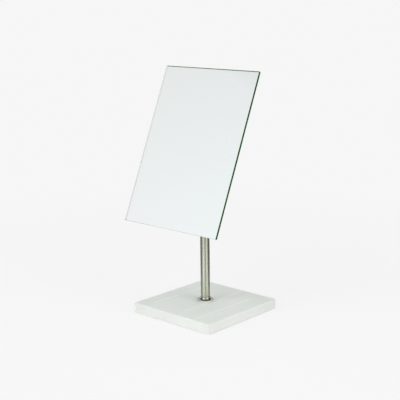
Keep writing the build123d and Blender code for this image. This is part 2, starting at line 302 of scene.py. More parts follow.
def point_values(piece: bpy.types.Object, name: str, rule: Callable[[Array], Array]) -> None:
    """Stores one number at each point of a piece, worked out from the points' places.

    Args:
        piece: The piece.
        name: Name that its material reads the numbers by.
        rule: Gives the numbers for places of shape (n, 3).
    """
    places = np.zeros(len(piece.data.vertices) * 3, np.float32)
    piece.data.vertices.foreach_get("co", places)
    store_values(piece, name, rule(places.reshape(-1, 3).astype(float)))


# Materials


class Recipe:
    """Builds the nodes of one material around a Principled shader."""

    def __init__(self, name: str) -> None:
        """Starts an empty material.

        Args:
            name: Name of the material.
        """
        self.material = bpy.data.materials.new(name)
        self.material.use_nodes = True
        self.tree = self.material.node_tree
        self.tree.nodes.clear()
        self.output = self.tree.nodes.new("ShaderNodeOutputMaterial")
        self.shader = self.tree.nodes.new("ShaderNodeBsdfPrincipled")
        self.tree.links.new(self.shader.outputs["BSDF"], self.output.inputs["Surface"])
        self.place = self.tree.nodes.new("ShaderNodeTexCoord").outputs["Object"]

    def set(self, **values: object) -> None:
        """Sets shader sockets, named with underscores, to a number, a colour or a socket."""
        for name, value in values.items():
            self.feed(self.shader.inputs[name.replace("_", " ")], value)

    def feed(self, target: Socket, value: object) -> None:
        """Links a socket into target, or sets target's own value.

        Args:
            target: The socket that is fed.
            value: A number, a colour, or a socket to link.
        """
        if isinstance(value, bpy.types.NodeSocket):
            self.tree.links.new(value, target)
        elif isinstance(value, (tuple, list)) and len(value) == 3 and target.type == "RGBA":
            target.default_value = (*value, 1.0)
        else:
            target.default_value = value

    def scaled(self, scale: Sequence[float]) -> Socket:
        """The place on the piece, counted in cells.

        Args:
            scale: Cells for each metre along the three axes.

        Returns:
            The place's socket.
        """
        node = self.tree.nodes.new("ShaderNodeMapping")
        node.inputs["Scale"].default_value = scale
        self.feed(node.inputs["Vector"], self.place)
        return node.outputs["Vector"]

    def noise(self, vector: Socket, detail: float = 2.0, roughness: float = 0.5) -> Socket:
        """Cloudy noise from 0 to 1, one cell for each unit of vector.

        Args:
            vector: The place that is looked up.
            detail: Number of finer layers on top of the first.
            roughness: How strong each layer is beside the one before.

        Returns:
            The noise's socket.
        """
        node = self.tree.nodes.new("ShaderNodeTexNoise")
        self.feed(node.inputs["Vector"], vector)
        self.feed(node.inputs["Scale"], 1.0)
        self.feed(node.inputs["Detail"], detail)
        self.feed(node.inputs["Roughness"], roughness)
        return node.outputs["Fac"]

    def cells(self, vector: Socket) -> Socket:
        """Distance to the nearest of scattered points, about one for each unit of vector.

        Args:
            vector: The place that is looked up.

        Returns:
            The distance's socket.
        """
        node = self.tree.nodes.new("ShaderNodeTexVoronoi")
        self.feed(node.inputs["Vector"], vector)
        self.feed(node.inputs["Scale"], 1.0)
        return node.outputs["Distance"]

    def attribute(self, name: str) -> Socket:
        """The number stored at the piece's points.

        Args:
            name: Name that it was stored by.

        Returns:
            The number's socket.
        """
        node = self.tree.nodes.new("ShaderNodeAttribute")
        node.attribute_name = name
        return node.outputs["Fac"]

    def ranged(self, value: Socket, low: float, high: float, to_low: float, to_high: float) -> Socket:
        """Value carried from one range into another, and kept within it.

        Args:
            value: The socket that is carried over.
            low: Value that becomes to_low.
            high: Value that becomes to_high.
            to_low: Result for low, and for anything beyond it.
            to_high: Result for high, and for anything beyond it.

        Returns:
            The result's socket.
        """
        node = self.tree.nodes.new("ShaderNodeMapRange")
        names = ("Value", "From Min", "From Max", "To Min", "To Max")
        for name, given in zip(names, (value, low, high, to_low, to_high)):
            self.feed(node.inputs[name], given)
        return node.outputs["Result"]

    def share(self, noise: Socket, limits: tuple[float, float] = NOISE_MIDDLE) -> Socket:
        """Noise stretched so that it goes from 0 to 1 between its limits."""
        return self.ranged(noise, *limits, 0.0, 1.0)

    def sum(self, *terms: tuple[Socket, float]) -> Socket:
        """The sum of sockets, each times its own weight.

        Args:
            terms: Pairs of a socket and its weight.

        Returns:
            The sum's socket.
        """
        total = None
        for socket, weight in terms:
            node = self.tree.nodes.new("ShaderNodeMath")
            node.operation = "MULTIPLY_ADD"
            self.feed(node.inputs[0], socket)
            node.inputs[1].default_value = weight
            if total is not None:
                self.feed(node.inputs[2], total)
            else:
                node.inputs[2].default_value = 0.0
            total = node.outputs["Value"]
        return total

    def product(self, first: object, second: object) -> Socket:
        """First times second.

        Args:
            first: A socket or a number.
            second: Another.

        Returns:
            The product's socket.
        """
        node = self.tree.nodes.new("ShaderNodeMath")
        node.operation = "MULTIPLY"
        self.feed(node.inputs[0], first)
        self.feed(node.inputs[1], second)
        return node.outputs["Value"]

    def blend(self, share: Socket, first: object, second: object) -> Socket:
        """Colour that goes from first to second as share goes from 0 to 1.

        Args:
            share: How much of the second colour there is.
            first: A colour, or a socket that gives one.
            second: Another.

        Returns:
            The colour's socket.
        """
        node = self.tree.nodes.new("ShaderNodeMix")
        node.data_type = "RGBA"
        self.feed(node.inputs["Factor"], share)
        colours = [s for s in node.inputs if s.type == "RGBA"]
        self.feed(colours[0], first)
        self.feed(colours[1], second)
        return next(s for s in node.outputs if s.type == "RGBA")

    def relief(self, height: Socket, depth: float, strength: float = 1.0) -> None:
        """Bumps the surface by a height, where 1 stands depth metres above 0.

        Args:
            height: The height's socket.
            depth: What one unit of height stands for, in metres.
            strength: Share of the slope that the light sees.
        """
        node = self.tree.nodes.new("ShaderNodeBump")
        self.feed(node.inputs["Height"], height)
        self.feed(node.inputs["Distance"], depth)
        self.feed(node.inputs["Strength"], strength)
        self.feed(self.shader.inputs["Normal"], node.outputs["Normal"])


class Brushing(Enum):
    """Which way the fine lines of brushed metal run."""

    ROUND_THE_POST = "round"
    ALONG_X = "x"
    ALONG_Z = "z"


@dataclass(frozen=True)
class LimedWood:
    """Open-grained timber, whitewashed and rubbed back, with lime left in the grain.

    The board's sides take a darker, less cool copy of the top's colours: painted shade on the sides.
    """

    slot: str = "whitewashed_wood"
    body: Colour = (0.76, 0.795, 0.755)
    pale: Colour = (0.795, 0.83, 0.79)
    shaded_side_body: Colour = (0.74, 0.76, 0.728)
    shaded_side_pale: Colour = (0.775, 0.795, 0.762)
    lime: Colour = (0.97, 0.985, 0.955)
    roughness: tuple[float, float] = (0.5, 0.68)
    broad_cells: Cells = (55, 5, 55)
    fibre_cells: Cells = (1500, 45, 1500)
    fibre_depth: float = 0.03 * MM

    def material(self) -> bpy.types.Material:
        """Builds the finish.

        Returns:
            The material.
        """
        r = Recipe(self.slot)
        broad = r.noise(r.scaled(self.broad_cells), 3.0)
        fibre = r.noise(r.scaled(self.fibre_cells), 2.0, 0.6)
        tone = r.share(r.sum((broad, 0.7), (fibre, 0.3)))
        upper = r.blend(tone, self.body, self.pale)
        # painted shade: a darker, less cool copy of the top's colours for the board's sides
        sides = r.blend(tone, self.shaded_side_body, self.shaded_side_pale)
        body = r.blend(r.attribute("side"), upper, sides)
        r.set(Base_Color=r.blend(r.attribute("lime"), body, self.lime))
        r.set(Roughness=r.ranged(fibre, *NOISE_SPREAD, *self.roughness), Specular_IOR_Level=0.35)
        r.relief(fibre, self.fibre_depth, 0.6)
        return r.material


@dataclass(frozen=True)
class BrushedSteel:
    """Stainless steel with fine brushed lines."""

    slot: str = "brushed_steel"
    colour: Colour = (0.58, 0.59, 0.49)
    worn: Colour = (0.64, 0.65, 0.55)
    roughness: tuple[float, float] = (0.35, 0.42)
    brushing: Brushing = Brushing.ROUND_THE_POST
    stretch: float = 0.96
    cloud_cells: Cells = (90, 90, 90)
    line_depth: float = 0.004 * MM

    def material(self) -> bpy.types.Material:
        """Builds the finish.

        Returns:
            The material.
        """
        r = Recipe(f"{self.slot}_{self.brushing.value}")
        cells = {
            Brushing.ROUND_THE_POST: (60, 60, 9000),
            Brushing.ALONG_X: (60, 7000, 7000),
            Brushing.ALONG_Z: (7000, 7000, 60),
        }[self.brushing]
        lines = r.noise(r.scaled(cells), 2.0, 0.7)
        cloud = r.noise(r.scaled(self.cloud_cells), 3.0)
        tone = r.share(r.sum((lines, 0.6), (cloud, 0.4)))
        r.set(Base_Color=r.blend(tone, self.colour, self.worn), Metallic=1.0)
        r.set(Roughness=r.ranged(lines, *NOISE_SPREAD, *self.roughness))
        r.relief(lines, self.line_depth, 0.5)
        if self.brushing is Brushing.ROUND_THE_POST:
            tangent = r.tree.nodes.new("ShaderNodeTangent")
            tangent.direction_type = "RADIAL"
            tangent.axis = "Z"
            r.set(Anisotropic=self.stretch, Anisotropic_Rotation=0.25)
            r.set(Tangent=tangent.outputs["Tangent"])
        return r.material


@dataclass(frozen=True)
class PolishedChrome:
    """Plating with faint wipe marks; by radius, a painted highlight makes the brim bright and painted
    shade makes the flare darker and warmer.
    """

    slot: str = "polished_chrome"
    flare_painted_shade: Colour = (0.46, 0.465, 0.385)
    brim_painted_highlight: Colour = (0.90, 0.90, 0.87)
    wiped: Colour = (0.0, 0.0, 0.0)
    flare_reach: float = 8.8 * MM
    brim_reach: float = 9.3 * MM
    wiped_share: float = 0.06
    wiped_cells: Cells = (250, 250, 900)
    wiped_range: tuple[float, float] = (0.35, 0.7)
    roughness: tuple[float, float] = (0.04, 0.11)

    def material(self) -> bpy.types.Material:
        """Builds the finish.

        Returns:
            The material.
        """
        r = Recipe(self.slot)
        wiped = r.noise(r.scaled(self.wiped_cells), 4.0, 0.6)
        reach = r.tree.nodes.new("ShaderNodeVectorMath")
        reach.operation = "LENGTH"
        r.feed(reach.inputs[0], r.scaled((1, 1, 0)))
        # painted light by radius: darker, warmer plating on the flare, brighter on the brim
        outside = r.ranged(reach.outputs["Value"], self.flare_reach, self.brim_reach, 0.0, 1.0)
        plated_with_painted_light = r.blend(outside, self.flare_painted_shade, self.brim_painted_highlight)
        shade = r.ranged(wiped, *NOISE_SPREAD, 0.0, self.wiped_share)
        r.set(Base_Color=r.blend(shade, plated_with_painted_light, self.wiped), Metallic=1.0)
        r.set(Roughness=r.ranged(wiped, *self.wiped_range, *self.roughness))
        return r.material


@dataclass(frozen=True)
class ZincPlate:
    """Plated fasteners: bluish zinc with soft cloudy patches."""

    slot: str = "zinc_plate"
    colour: Colour = (0.58, 0.60, 0.63)
    cloud: Colour = (0.66, 0.66, 0.63)
    roughness: tuple[float, float] = (0.22, 0.42)
    patch_cells: Cells = (700, 700, 700)
    grain_cells: Cells = (5000, 5000, 5000)
    grain_depth: float = 0.01 * MM

    def material(self) -> bpy.types.Material:
        """Builds the finish.

        Returns:
            The material.
        """
        r = Recipe(self.slot)
        patch = r.noise(r.scaled(self.patch_cells), 4.0, 0.6)
        grain = r.noise(r.scaled(self.grain_cells), 2.0)
        r.set(Base_Color=r.blend(r.share(patch), self.colour, self.cloud), Metallic=1.0)
        r.set(Roughness=r.ranged(patch, *NOISE_SPREAD, *self.roughness))
        r.relief(grain, self.grain_depth, 0.4)
        return r.material


@dataclass(frozen=True)
class PowderCoat:
    """Baked powder paint with the usual fine orange peel."""

    slot: str = "powder_coat"
    colour: Colour = (0.40, 0.41, 0.42)
    light: Colour = (0.46, 0.47, 0.48)
    roughness: tuple[float, float] = (0.36, 0.52)
    peel_cells: Cells = (1100, 1100, 1100)
    patch_cells: Cells = (45, 45, 45)
    peel_depth: float = 0.06 * MM

    def material(self) -> bpy.types.Material:
        """Builds the finish.

        Returns:
            The material.
        """
        r = Recipe(self.slot)
        peel = r.noise(r.scaled(self.peel_cells), 1.0, 0.4)
        patch = r.noise(r.scaled(self.patch_cells), 3.0)
        r.set(Base_Color=r.blend(r.share(patch, NOISE_SPREAD), self.colour, self.light))
        r.set(Roughness=r.ranged(peel, *NOISE_SPREAD, *self.roughness))
        r.set(Coat_Weight=0.15, Coat_Roughness=0.25)
        r.relief(peel, self.peel_depth, 0.7)
        return r.material


@dataclass(frozen=True)
class Felt:
    """Pressed wool felt, matted fibres with a soft bloom at grazing angles."""

    slot: str = "felt"
    colour: Colour = (0.13, 0.13, 0.14)
    light: Colour = (0.20, 0.20, 0.21)
    mat_cells: Cells = (900, 900, 900)
    mat_depth: float = 0.25 * MM

    def material(self) -> bpy.types.Material:
        """Builds the finish.

        Returns:
            The material.
        """
        r = Recipe(self.slot)
        mat = r.noise(r.scaled(self.mat_cells), 5.0, 0.75)
        r.set(Base_Color=r.blend(r.share(mat), self.colour, self.light))
        r.set(Roughness=0.95, Specular_IOR_Level=0.15, Sheen_Weight=0.4, Sheen_Roughness=0.5)
        r.relief(mat, self.mat_depth, 0.8)
        return r.material


@dataclass(frozen=True)
class Nylon:
    """Cut nylon washers, slightly cloudy."""

    slot: str = "nylon"
    colour: Colour = (0.80, 0.80, 0.76)
    light: Colour = (0.88, 0.88, 0.85)
    roughness: tuple[float, float] = (0.38, 0.52)
    cloud_cells: Cells = (600, 600, 600)

    def material(self) -> bpy.types.Material:
        """Builds the finish.

        Returns:
            The material.
        """
        r = Recipe(self.slot)
        cloud = r.noise(r.scaled(self.cloud_cells), 3.0)
        r.set(Base_Color=r.blend(r.share(cloud, NOISE_SPREAD), self.colour, self.light))
        r.set(Roughness=r.ranged(cloud, *NOISE_SPREAD, *self.roughness))
        r.set(Subsurface_Weight=0.15, Subsurface_Scale=1 * MM)
        return r.material


@dataclass(frozen=True)
class FoamTape:
    """Closed-cell mounting foam, seen at its cut edge."""

    slot: str = "foam_tape"
    colour: Colour = (0.035, 0.035, 0.036)
    light: Colour = (0.07, 0.07, 0.07)
    roughness: tuple[float, float] = (0.75, 0.9)
    bubble_cells: Cells = (2600, 2600, 2600)
    bubble_range: tuple[float, float] = (0.1, 0.7)
    bubble_depth: float = 0.15 * MM

    def material(self) -> bpy.types.Material:
        """Builds the finish.

        Returns:
            The material.
        """
        r = Recipe(self.slot)
        bubbles = r.cells(r.scaled(self.bubble_cells))
        r.set(Base_Color=r.blend(r.share(bubbles, self.bubble_range), self.colour, self.light))
        r.set(Roughness=r.ranged(bubbles, *self.bubble_range, *self.roughness), Specular_IOR_Level=0.3)
        r.relief(bubbles, self.bubble_depth, 0.8)
        return r.material


@dataclass(frozen=True)
class BackingPaint:
    """The protective paint on a mirror's back, curtain-coated, with faint runs and specks."""

    slot: str = "backing_paint"
    colour: Colour = (0.36, 0.38, 0.39)
    light: Colour = (0.42, 0.44, 0.45)
    roughness: tuple[float, float] = (0.42, 0.58)
    run_cells: Cells = (90, 8, 8)
    speck_cells: Cells = (1500, 1500, 1500)
    depth: float = 0.05 * MM

    def material(self) -> bpy.types.Material:
        """Builds the finish.

        Returns:
            The material.
        """
        r = Recipe(self.slot)
        runs = r.noise(r.scaled(self.run_cells), 3.0)
        specks = r.noise(r.scaled(self.speck_cells), 2.0)
        tone = r.share(r.sum((runs, 0.75), (specks, 0.25)))
        r.set(Base_Color=r.blend(tone, self.colour, self.light))
        r.set(Roughness=r.ranged(specks, *NOISE_SPREAD, *self.roughness), Specular_IOR_Level=0.4)
        r.relief(r.sum((runs, 0.6), (specks, 0.4)), self.depth, 0.5)
        return r.material


@dataclass(frozen=True)
class Silvering:
    """The silver film behind the glass, a little tarnished at its very border."""

    slot: str = "silvering"
    colour: Colour = (0.975, 0.985, 0.975)
    tarnish: Colour = (0.90, 0.92, 0.89)
    border_roughness: float = 0.08

    def material(self) -> bpy.types.Material:
        """Builds the finish.

        Returns:
            The material.
        """
        r = Recipe(self.slot)
        border = r.attribute("border")
        r.set(Base_Color=r.blend(border, self.colour, self.tarnish), Metallic=1.0)
        r.set(Roughness=r.ranged(border, 0.0, 1.0, 0.0, self.border_roughness))
        return r.material


@dataclass(frozen=True)
class FloatGlass:
    """Clear float glass, whose ground edges show the green of the glass's whole width.

    The points' numbers seam and outer_seam say how ground each place is. The second counts only
    where the glass is met from outside, so that the edge is clear to the light within.
    """

    slot: str = "clear_glass"
    refraction: float = 1.52
    clear: Colour = (1.0, 1.0, 1.0)
    edge: Colour = (0.085, 0.36, 0.075)
    edge_gloss: Colour = (0.02, 1.0, 0.0)
    edge_roughness: float = 0.10
    edge_haze: float = 0.045
    patch_cells: Cells = (900, 900, 900)
    through: Colour = (0.45, 0.70, 0.66)
    density: float = 10.0

    def material(self) -> bpy.types.Material:
        """Builds the finish.

        Returns:
            The material.
        """
        r = Recipe(self.slot)
        from_inside = r.tree.nodes.new("ShaderNodeNewGeometry").outputs["Backfacing"]
        outside = r.product(r.attribute("outer_seam"), r.ranged(from_inside, 0.0, 1.0, 1.0, 0.0))
        seam = r.sum((r.attribute("seam"), 1.0), (outside, 1.0))
        patches = r.noise(r.scaled(self.patch_cells), 3.0)
        r.set(Base_Color=r.blend(seam, self.clear, self.edge), IOR=self.refraction)
        r.set(Transmission_Weight=r.ranged(seam, 0.0, 1.0, 1.0, 1.0 - self.edge_haze))
        r.set(Specular_Tint=r.blend(seam, self.clear, self.edge_gloss))
        rough = r.ranged(patches, *NOISE_SPREAD, 0.6 * self.edge_roughness, self.edge_roughness)
        r.set(Roughness=r.product(seam, rough))
        body = r.tree.nodes.new("ShaderNodeVolumeAbsorption")
        body.inputs["Color"].default_value = (*self.through, 1.0)
        body.inputs["Density"].default_value = self.density
        r.tree.links.new(body.outputs["Volume"], r.output.inputs["Volume"])
        return r.material


class Finish(Protocol):
    """What every finish has: its material slot in the record, and a material."""

    slot: str

    def material(self) -> bpy.types.Material:
        """Builds the finish.

        Returns:
            The material.
        """


class Dresser:
    """Makes each finish once and puts it on CAD nodes and new pieces."""

    def __init__(self) -> None:
        """Starts with no finish made."""
        self.made: dict[Finish, bpy.types.Material] = {}

    def material(self, finish: Finish) -> bpy.types.Material:
        """The finish's material, made when it is first asked for.

        Args:
            finish: The finish.

        Returns:
            Its material.
        """
        if finish not in self.made:
            self.made[finish] = finish.material()
        return self.made[finish]

    def dress_node(self, node: str, finish: Finish) -> None:
        """Gives a CAD node that stays shown its finish.

        Args:
            node: The node's name.
            finish: Its finish.
        """
        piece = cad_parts[node]
        for slot in piece.material_slots:
            slot.material = self.material(finish)
        LOG.info("%s keeps its CAD shape, finish %s", node, finish.slot)

    def place(self, piece: bpy.types.Object, body: str, node: str, finish: Finish) -> bpy.types.Object:
        """Dresses a new piece, rides it on its body and lets it stand for a CAD node.

        Args:
            piece: The new piece.
            body: CAD body that it moves with.
            node: CAD node that it stands for.
            finish: Its finish, whose slot is the record's.

        Returns:
            The piece.
        """
        piece.data.materials.clear()
        piece.data.materials.append(self.material(finish))
        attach(piece, body)
        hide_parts(node)
        LOG.info("%s stands for %s: %d faces", piece.name, node, len(piece.data.polygons))
        return piece


# The stand


@dataclass(frozen=True)
class GrainLine:
    """One open pore line in the board's face, from the front edge towards the back."""

    front: tuple[float, float]
    back: tuple[float, float]
    width: float
    depth: float
    lime: float

    def share(self, across: Array, along: Array) -> Array:
        """How much of the line is at each place.

        The line's middle goes straight from front to back, with a slow sideways wave. Its
        section is a bell of the line's width, and it fades out over 6 mm at each end.

        Args:
            across: Distance round the board's section, in metres.
            along: Distance along the grain, in metres.

        Returns:
            A number from 0 to 1 for each place.
        """
        run = (along - self.front[1]) / (self.back[1] - self.front[1])
        wave = 0.25 * MM * np.sin(55 * along + 900 * self.front[0])
        middle = self.front[0] + run * (self.back[0] - self.front[0]) + wave
        fade = 6 * MM / abs(self.back[1] - self.front[1])
        ends = np.clip(run / fade, 0, 1) * np.clip((1 - run) / fade, 0, 1)
        return ends * np.exp(-(((across - middle) / (0.5 * self.width)) ** 2))


@dataclass
class Pedestal:
    """The board with its felt, the collar, the post and the bolts that hold them."""

    side: float = 150 * MM
    bottom: float = 1 * MM
    top: float = 16 * MM
    edge: float = 0.9 * MM
    hole: float = 3.3 * MM
    recess: float = 11 * MM
    recess_top: float = 9 * MM
    patch: float = 13 * MM
    tube_outer: float = 7 * MM
    tube_wall: float = 1 * MM
    tube_foot: float = 17 * MM
    tube_top: float = 220 * MM
    lip: float = 0.15 * MM
    felt_side: float = 145 * MM
    felt_radius: float = 3 * MM
    felt_thickness: float = 1 * MM
    step_across: float = 0.62 * MM
    step_along: float = 1.5 * MM
    step_up: float = 0.8 * MM
    around: int = 96
    fine_lines: int = 150
    grain_seed: int = 41
    growth_centre: tuple[float, float] = (22 * MM, -95 * MM)
    growth_step: float = 3.4 * MM
    ring_depth: float = 0.05 * MM
    pit_depth: float = 0.12 * MM

    def stations(self, half: float, step: float, marks: Sequence[float] = ()) -> Array:
        """Places along one side of the board, close together in the rounded edges.

        Args:
            half: Half of the side.
            step: Distance between places on the flat.
            marks: Places that have to be among them.

        Returns:
            The places in order, from -half to half.
        """
        turn = np.radians([45, 32, 18, 0])
        ends = half - self.edge * (1 - np.tan(turn))
        knots = np.unique(np.concatenate([[-ends[-1], ends[-1]], marks]))
        flat = [
            np.linspace(a, b, max(1, round((b - a) / step)), endpoint=False)
            for a, b in zip(knots[:-1], knots[1:])
        ]
        return np.concatenate([-ends[:-1], *flat, [ends[-1]], ends[:-1][::-1]])

    def grain_lines(self) -> list[GrainLine]:
        """The lines that the photograph shows on the top, then finer ones drawn with a seed.

        The draws are in millimetres: where a line starts, its length, lean, width and depth.

        Returns:
            All the lines.
        """
        seen = [
            GrainLine((43.0 * MM, -72 * MM), (45.8 * MM, 52 * MM), 1.7 * MM, 0.10 * MM, 1.0),
            GrainLine((7.0 * MM, -56 * MM), (11.2 * MM, -22 * MM), 1.7 * MM, 0.10 * MM, 0.95),
            GrainLine((11.0 * MM, -26 * MM), (11.6 * MM, 73 * MM), 1.4 * MM, 0.08 * MM, 0.8),
            GrainLine((-54.0 * MM, -58 * MM), (-51.0 * MM, -4 * MM), 1.6 * MM, 0.10 * MM, 0.8),
        ]
        draw = np.random.default_rng(self.grain_seed)
        fine = []
        for _ in range(self.fine_lines):
            x, y, length = draw.uniform(-92, 92), draw.uniform(-85, 60), draw.uniform(18, 90)
            lean, width = draw.normal(0.0, 0.012), draw.uniform(0.45, 0.9)
            depth, lime = draw.uniform(0.02, 0.05), draw.uniform(0.04, 0.22)
            front, back = (x * MM, y * MM), ((x + lean * length) * MM, (y + length) * MM)
            fine.append(GrainLine(front, back, width * MM, depth * MM, lime))
        return seen + fine

    def section_place(self, points: Array) -> Array:
        """Distance round the board's section from the middle of its top.

        It is x on the top, and goes on by the depth below the rounded edge down each side.

        Args:
            points: Places of shape (n, 3).

        Returns:
            One distance for each place, in metres.
        """
        x = points[:, 0]
        beyond = np.clip(self.top - points[:, 2] - self.edge, 0, None)
        on_side = np.abs(x) > self.side / 2 - 1.5 * self.edge
        return x + np.sign(x) * beyond * on_side

    def on_long_faces(self, points: Array) -> Array:
        """Share of the grain that a place shows, which fades over a short way between faces.

        Args:
            points: Places of shape (n, 3).

        Returns:
            1 on the top and the two long sides, 0 on the ends, below and under the collar.
        """
        skin, fade = 0.5 * MM, 1.5 * MM
        ends = np.clip((self.side / 2 - np.abs(points[:, 1])) / skin, 0, 1)
        under = np.clip((points[:, 2] - self.bottom) / fade, 0, 1)
        clear = np.clip((np.hypot(points[:, 0], points[:, 1]) - self.patch) / fade, 0, 1)
        on_top = points[:, 2] > self.top - skin
        return ends * under * np.where(on_top, clear, 1.0)

    def furrows(self, points: Array, lime: bool) -> Array:
        """Depth of the grain at points, or the share of lime in it.

        Args:
            points: Places of shape (n, 3).
            lime: Whether the answer is the lime's share instead of the depth.

        Returns:
            The depth in metres, or a share from 0 to 1.
        """
        across, along = self.section_place(points), points[:, 1]
        total = np.zeros(len(points))
        for line in self.grain_lines():
            share = line.share(across, along)
            total = np.maximum(total, share * (line.lime if lime else line.depth))
        return total * self.on_long_faces(points)

    def pores(self, points: Array) -> Array:
        """Depth of the end grain: years of growth with small pits between.

        The years are the third power of a sine wave over the distance from the tree's middle,
        bent by smooth noise, and the pits are what stands out of a finer noise.

        Args:
            points: Places of shape (n, 3).

        Returns:
            The depth in metres, which is 0 except at the board's two ends.
        """
        noise = SmoothNoise(7)
        middle_x, middle_z = self.growth_centre
        arcs = np.hypot(points[:, 0] - middle_x, points[:, 2] - middle_z) / self.growth_step
        years = 0.5 + 0.5 * np.sin(2 * np.pi * arcs + 1.5 * noise.at(points, (60, 20, 60)))
        pits = np.clip(noise.at(points, (1300, 300, 1300)) - 0.35, 0, 1)
        skin, fade = 0.4 * MM, 0.3 * MM
        on_end = np.clip((np.abs(points[:, 1]) - (self.side / 2 - skin)) / fade, 0, 1)
        return on_end * (self.ring_depth * years**3 + self.pit_depth * pits)

    def worn_edge(self, points: Array) -> Array:
        """Radius of the rounded edges, which smooth noise makes larger where they are rubbed.

        It is 0.72 of the edge's size, and up to all of it where the noise is high.

        Args:
            points: Places of shape (n, 3).

        Returns:
            One radius for each place, in metres.
        """
        noise = SmoothNoise(11)
        broad = np.clip(noise.at(points, (60, 60, 60)), 0, 1)
        fine = np.clip(noise.at(points, (240, 240, 240)), 0, 1)
        return self.edge * (0.72 + 0.28 * np.clip(broad + 0.5 * fine, 0, 1))

    def shaped(self, points: Array) -> Array:
        """Carries points of the square block onto the worn and furrowed board.

        A point q is clipped to the block shrunk by the edge's radius r, which gives c, and goes
        to c + (r - depth) (q - c) / |q - c|, so flats stay flat and edges become round.

        Args:
            points: Places on the block's faces, of shape (n, 3).

        Returns:
            The places on the board.
        """
        half = self.side / 2
        low = np.array([-half, -half, self.bottom])
        high = np.array([half, half, self.top])
        radius = self.worn_edge(points)[:, None]
        core = np.clip(points, low + radius, high - radius)
        away = points - core
        away /= np.maximum(np.linalg.norm(away, axis=1, keepdims=True), 1e-12)
        depth = self.furrows(points, lime=False) + self.pores(points)
        return core + (radius - depth[:, None]) * away

    def block(self, along_x: Array, along_y: Array, along_z: Array) -> list[Surface]:
        """The six faces of the block as grids, with a square left open in top and bottom.

        Args:
            along_x: Places along the first axis.
            along_y: Places along the second axis.
            along_z: Heights.

        Returns:
            The faces, each looking outwards.
        """
        half = self.side / 2

        def level(z: float) -> Surface:
            """One horizontal face without its middle square.

            Args:
                z: Its height.

            Returns:
                The face, looking up.
            """
            x, y = np.meshgrid(along_x, along_y, indexing="ij")
            face = sheet_of(np.stack([x, y, np.full_like(x, z)], -1))
            middle = face.points[face.quads].mean(1)
            keep = np.abs(middle[:, :2]).max(1) > self.patch
            return Surface(face.points, face.quads[keep])

        def upright(places: Array, wall: float, across_x: bool) -> Surface:
            """One vertical face.

            Args:
                places: Places along its foot.
                wall: Where it stands on the other axis.
                across_x: Whether its foot runs along X instead of Y.

            Returns:
                The face, looking towards -Y or +X.
            """
            a, z = np.meshgrid(places, along_z, indexing="ij")
            other = np.full_like(a, wall)
            order = (a, other, z) if across_x else (other, a, z)
            return sheet_of(np.stack(order, -1))

        return [
            level(self.top),
            level(self.bottom).turned(),
            upright(along_x, -half, True),
            upright(along_x, half, True).turned(),
            upright(along_y, -half, False).turned(),
            upright(along_y, half, False),
        ]

    def ring_patch(self, square: Array, radius: float, z: float, rings: int) -> Surface:
        """A flat patch from a square's border in to a circle.

        Ring t holds the points (1 - t) s + t c, with s on the square and c on the circle at
        the same angle.

        Args:
            square: Border points in order, of shape (n, 2).
            radius: The circle's radius.
            z: Height of the patch.
            rings: Steps from border to circle.

        Returns:
            The patch, looking up.
        """
        angle = np.arctan2(square[:, 1], square[:, 0])
        circle = radius * np.stack([np.cos(angle), np.sin(angle)], -1)
        t = np.linspace(0, 1, rings + 1)[:, None, None]
        flat = (1 - t) * square + t * circle
        points = np.concatenate([flat, np.full((*flat.shape[:2], 1), z)], -1)
        quads = lattice(rings + 1, len(square), close_columns=True)
        return Surface(points.reshape(-1, 3), quads[:, ::-1])

    def bore(self, square: Array, radius: float, low: float, high: float) -> Surface:
        """The wall of a drilled hole between two heights.

        Each border point gives the point of the hole at the same angle, at both heights.

        Args:
            square: Border points of the patch round the hole, of shape (n, 2).
            radius: The hole's radius.
            low: Height of its lower end.
            high: Height of its upper end.

        Returns:
            The wall, looking inwards.
        """
        angle = np.arctan2(square[:, 1], square[:, 0])
        ring = radius * np.stack([np.cos(angle), np.sin(angle)], -1)
        points = np.stack([np.column_stack([ring, np.full(len(ring), z)]) for z in (low, high)])
        return Surface(points.reshape(-1, 3), lattice(2, len(square), close_columns=True))

    def board(self) -> bpy.types.Object:
        """The board: a rounded, furrowed block with a drilled and counterbored middle.

        Each face is a grid of the square block, carried onto the board. The square left open
        round the hole is filled by flat rings and by the walls of hole and counterbore.

        Returns:
            The piece.
        """
        half = self.side / 2
        marks = (-self.patch, self.patch)
        along_x = self.stations(half, self.step_across, marks)
        along_y = self.stations(half, self.step_along, marks)
        middle = (self.top + self.bottom) / 2
        along_z = middle + self.stations((self.top - self.bottom) / 2, self.step_up)
        block = self.block(along_x, along_y, along_z)
        faces = [Surface(self.shaped(face.points), face.quads) for face in block]
        p, hair = self.patch, 1e-9
        x = along_x[np.abs(along_x) <= p + hair]
        y = along_y[np.abs(along_y) <= p + hair]
        sides = [(p, y[:-1]), (x[:0:-1], p), (-p, y[:0:-1]), (x[:-1], -p)]
        square = np.concatenate([np.column_stack(np.broadcast_arrays(*side)) for side in sides])
        angle = np.arctan2(square[:, 1], square[:, 0])
        rim = self.recess * np.stack([np.cos(angle), np.sin(angle)], -1)
        faces += [
            self.ring_patch(square, self.hole, self.top, 6),
            self.bore(square, self.hole, self.recess_top, self.top),
            self.ring_patch(rim, self.hole, self.recess_top, 4).turned(),
            self.bore(square, self.recess, self.bottom, self.recess_top),
            self.ring_patch(square, self.recess, self.bottom, 2).turned(),
        ]
        piece = mesh_piece("limed_board", joined(faces), weld=1e-6)
        point_values(piece, "lime", lambda points: self.furrows(points, lime=True))
        # share of the sides' painted shade: 0 on the top, 1 below the rounded edge
        point_values(piece, "side", lambda points: np.clip((self.top - points[:, 2]) / self.edge, 0, 1))
        return piece

